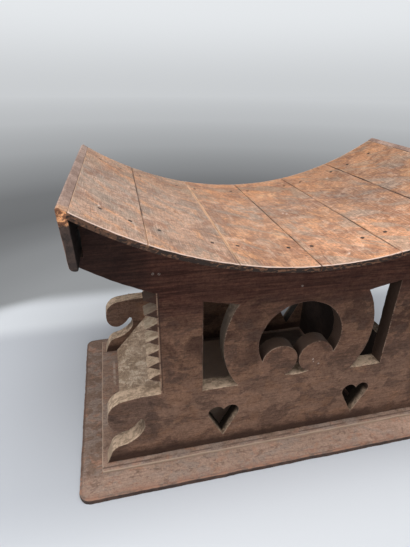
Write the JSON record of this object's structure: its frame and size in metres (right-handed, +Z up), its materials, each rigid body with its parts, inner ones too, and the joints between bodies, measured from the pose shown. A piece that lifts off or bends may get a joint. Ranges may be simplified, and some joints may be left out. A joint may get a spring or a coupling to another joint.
{
  "type": "plank stool",
  "caption": "Carved wooden stool with a curved slatted seat on two pierced side panels, standing on a stepped rectangular base.",
  "frame": {"origin": "on the floor, under the middle of the overall length and depth", "axes": "+X along the stool's length, +Y from the front panel to the back panel, +Z up"},
  "size_m": [0.48, 0.282, 0.3088],
  "materials": {
    "seat_wood": "worn, waxed by use, brighter along the edges",
    "panel_wood": "dark stained, dry, with pale worn carving edges",
    "base_wood": "dusty grey brown with dark edges",
    "inner_wood": "bare tan wood with scratches",
    "nail_iron": "dark rusted heads"
  },
  "bodies": {
    "root": {"base_board": "base_wood", "plinth_board": "base_wood", "front_panel": "panel_wood", "back_panel": "panel_wood", "left_partition": "inner_wood", "right_partition": "inner_wood", "left_end_slope": "inner_wood", "right_end_slope": "inner_wood", "left_end_cap": "seat_wood", "right_end_cap": "seat_wood", "seat_nails": "nail_iron", "cap_nails": "nail_iron", "base_nails": "nail_iron", "seat_slat_1": "seat_wood", "seat_slat_2": "seat_wood", "seat_slat_3": "seat_wood", "seat_slat_4": "seat_wood", "seat_slat_5": "seat_wood", "seat_slat_6": "seat_wood"}
  },
  "joints": []
}
